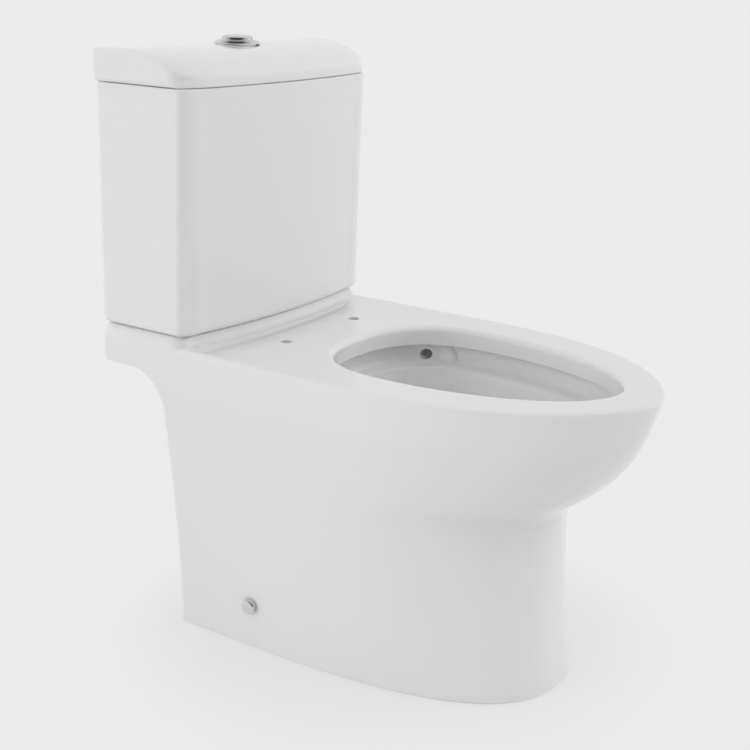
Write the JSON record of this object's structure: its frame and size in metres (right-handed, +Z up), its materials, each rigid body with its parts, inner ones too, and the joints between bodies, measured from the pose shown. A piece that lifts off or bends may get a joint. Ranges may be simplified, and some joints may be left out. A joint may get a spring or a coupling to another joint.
{
  "type": "close coupled toilet",
  "caption": "Close coupled toilet with a skirted pan, a cistern on its deck, a lift-off lid and a dual push button flush.",
  "frame": {"origin": "on the floor, midway across the width and midway between the front of the rim and the back of the deck", "axes": "+Z up, -Y towards the front of the bowl, +Y towards the wall, +X towards the fill valve's side"},
  "size_m": [0.3886, 0.693, 0.7729],
  "materials": {
    "vitreous_china": "white vitreous china under a clear gloss glaze",
    "chrome_plate": "bright chrome plate",
    "white_plastic": "moulded white plastic with a fine matt texture",
    "grey_plastic": "moulded grey plastic",
    "black_rubber": "moulded black rubber",
    "stainless_steel": "plain stainless steel",
    "brass": "turned brass"
  },
  "bodies": {
    "base": {"pan": "vitreous_china", "cistern": "vitreous_china", "cistern_gasket": "black_rubber", "flush_valve_seat": "white_plastic", "flush_valve_nut": "grey_plastic", "flush_valve_cage": "grey_plastic", "lever_pin": "stainless_steel", "fill_valve_stem": "white_plastic", "fill_valve_head": "white_plastic", "fill_valve_washer": "black_rubber", "fill_valve_nut": "grey_plastic", "refill_hose": "black_rubber", "refill_hose_clip": "grey_plastic", "cistern_bolt_left": "brass", "cistern_bolt_right": "brass", "bolt_seal_left": "black_rubber", "bolt_seal_right": "black_rubber", "bolt_washer_left": "stainless_steel", "bolt_washer_right": "stainless_steel", "wing_nut_left": "brass", "wing_nut_right": "brass", "fixing_cap_left": "chrome_plate", "fixing_cap_right": "chrome_plate", "side_screw_left": "stainless_steel", "side_screw_right": "stainless_steel", "floor_bracket_left": "white_plastic", "floor_bracket_right": "white_plastic"},
    "lid": {"cistern_lid": "vitreous_china", "button_bezel": "chrome_plate", "button_lock_nut": "white_plastic", "button_guide": "white_plastic", "full_button_spring": "stainless_steel", "half_button_spring": "stainless_steel"},
    "full_button": {"full_flush_button": "chrome_plate", "full_push_rod": "white_plastic"},
    "half_button": {"half_flush_button": "chrome_plate", "half_push_rod": "white_plastic"},
    "full_lever": {"full_flush_lever": "white_plastic"},
    "half_lever": {"half_flush_lever": "white_plastic"},
    "flush_valve": {"overflow_tube": "white_plastic", "flush_valve_seal": "black_rubber"},
    "float": {"float_cup": "grey_plastic"},
    "float_lever": {"float_arm": "white_plastic"}
  },
  "joints": [
    {"name": "lid_lift", "type": "slide", "parent": "base", "child": "lid", "axis": [0, 0, 1], "range_m": [0, 0.15]},
    {"name": "full_flush_press", "type": "slide", "parent": "lid", "child": "full_button", "axis": [0, 0, -1], "range_m": [0, 0.006], "stiffness_N_per_m": 900, "springref_m": -0.005, "deforming": ["full_button_spring"]},
    {"name": "half_flush_press", "type": "slide", "parent": "lid", "child": "half_button", "axis": [0, 0, -1], "range_m": [0, 0.006], "stiffness_N_per_m": 900, "springref_m": -0.005, "deforming": ["half_button_spring"]},
    {"name": "full_lever_turn", "type": "hinge", "parent": "base", "child": "full_lever", "pos_m": [0, 0.275, 0.6682], "axis": [-1, 0, 0], "range_deg": [0, 29]},
    {"name": "half_lever_turn", "type": "hinge", "parent": "base", "child": "half_lever", "pos_m": [0, 0.275, 0.6682], "axis": [-1, 0, 0], "range_deg": [0, 29]},
    {"name": "flush_valve_lift", "type": "slide", "parent": "base", "child": "flush_valve", "axis": [0, 0, 1], "range_m": [0, 0.0061]},
    {"name": "float_rise", "type": "slide", "parent": "base", "child": "float", "axis": [0, 0, 1], "range_m": [0, 0.0075]},
    {"name": "float_lever_turn", "type": "hinge", "parent": "base", "child": "float_lever", "pos_m": [0.148, 0.2915, 0.6427], "axis": [0, -1, 0], "range_deg": [0, 29]}
  ],
  "couplings": [
    {"joint": "full_lever_turn", "follows": "full_flush_press", "rad_per_m": 83.333},
    {"joint": "half_lever_turn", "follows": "half_flush_press", "rad_per_m": 83.333},
    {"joint": "flush_valve_lift", "follows": "full_flush_press", "ratio": 1},
    {"joint": "float_lever_turn", "follows": "float_rise", "rad_per_m": 66.667}
  ]
}
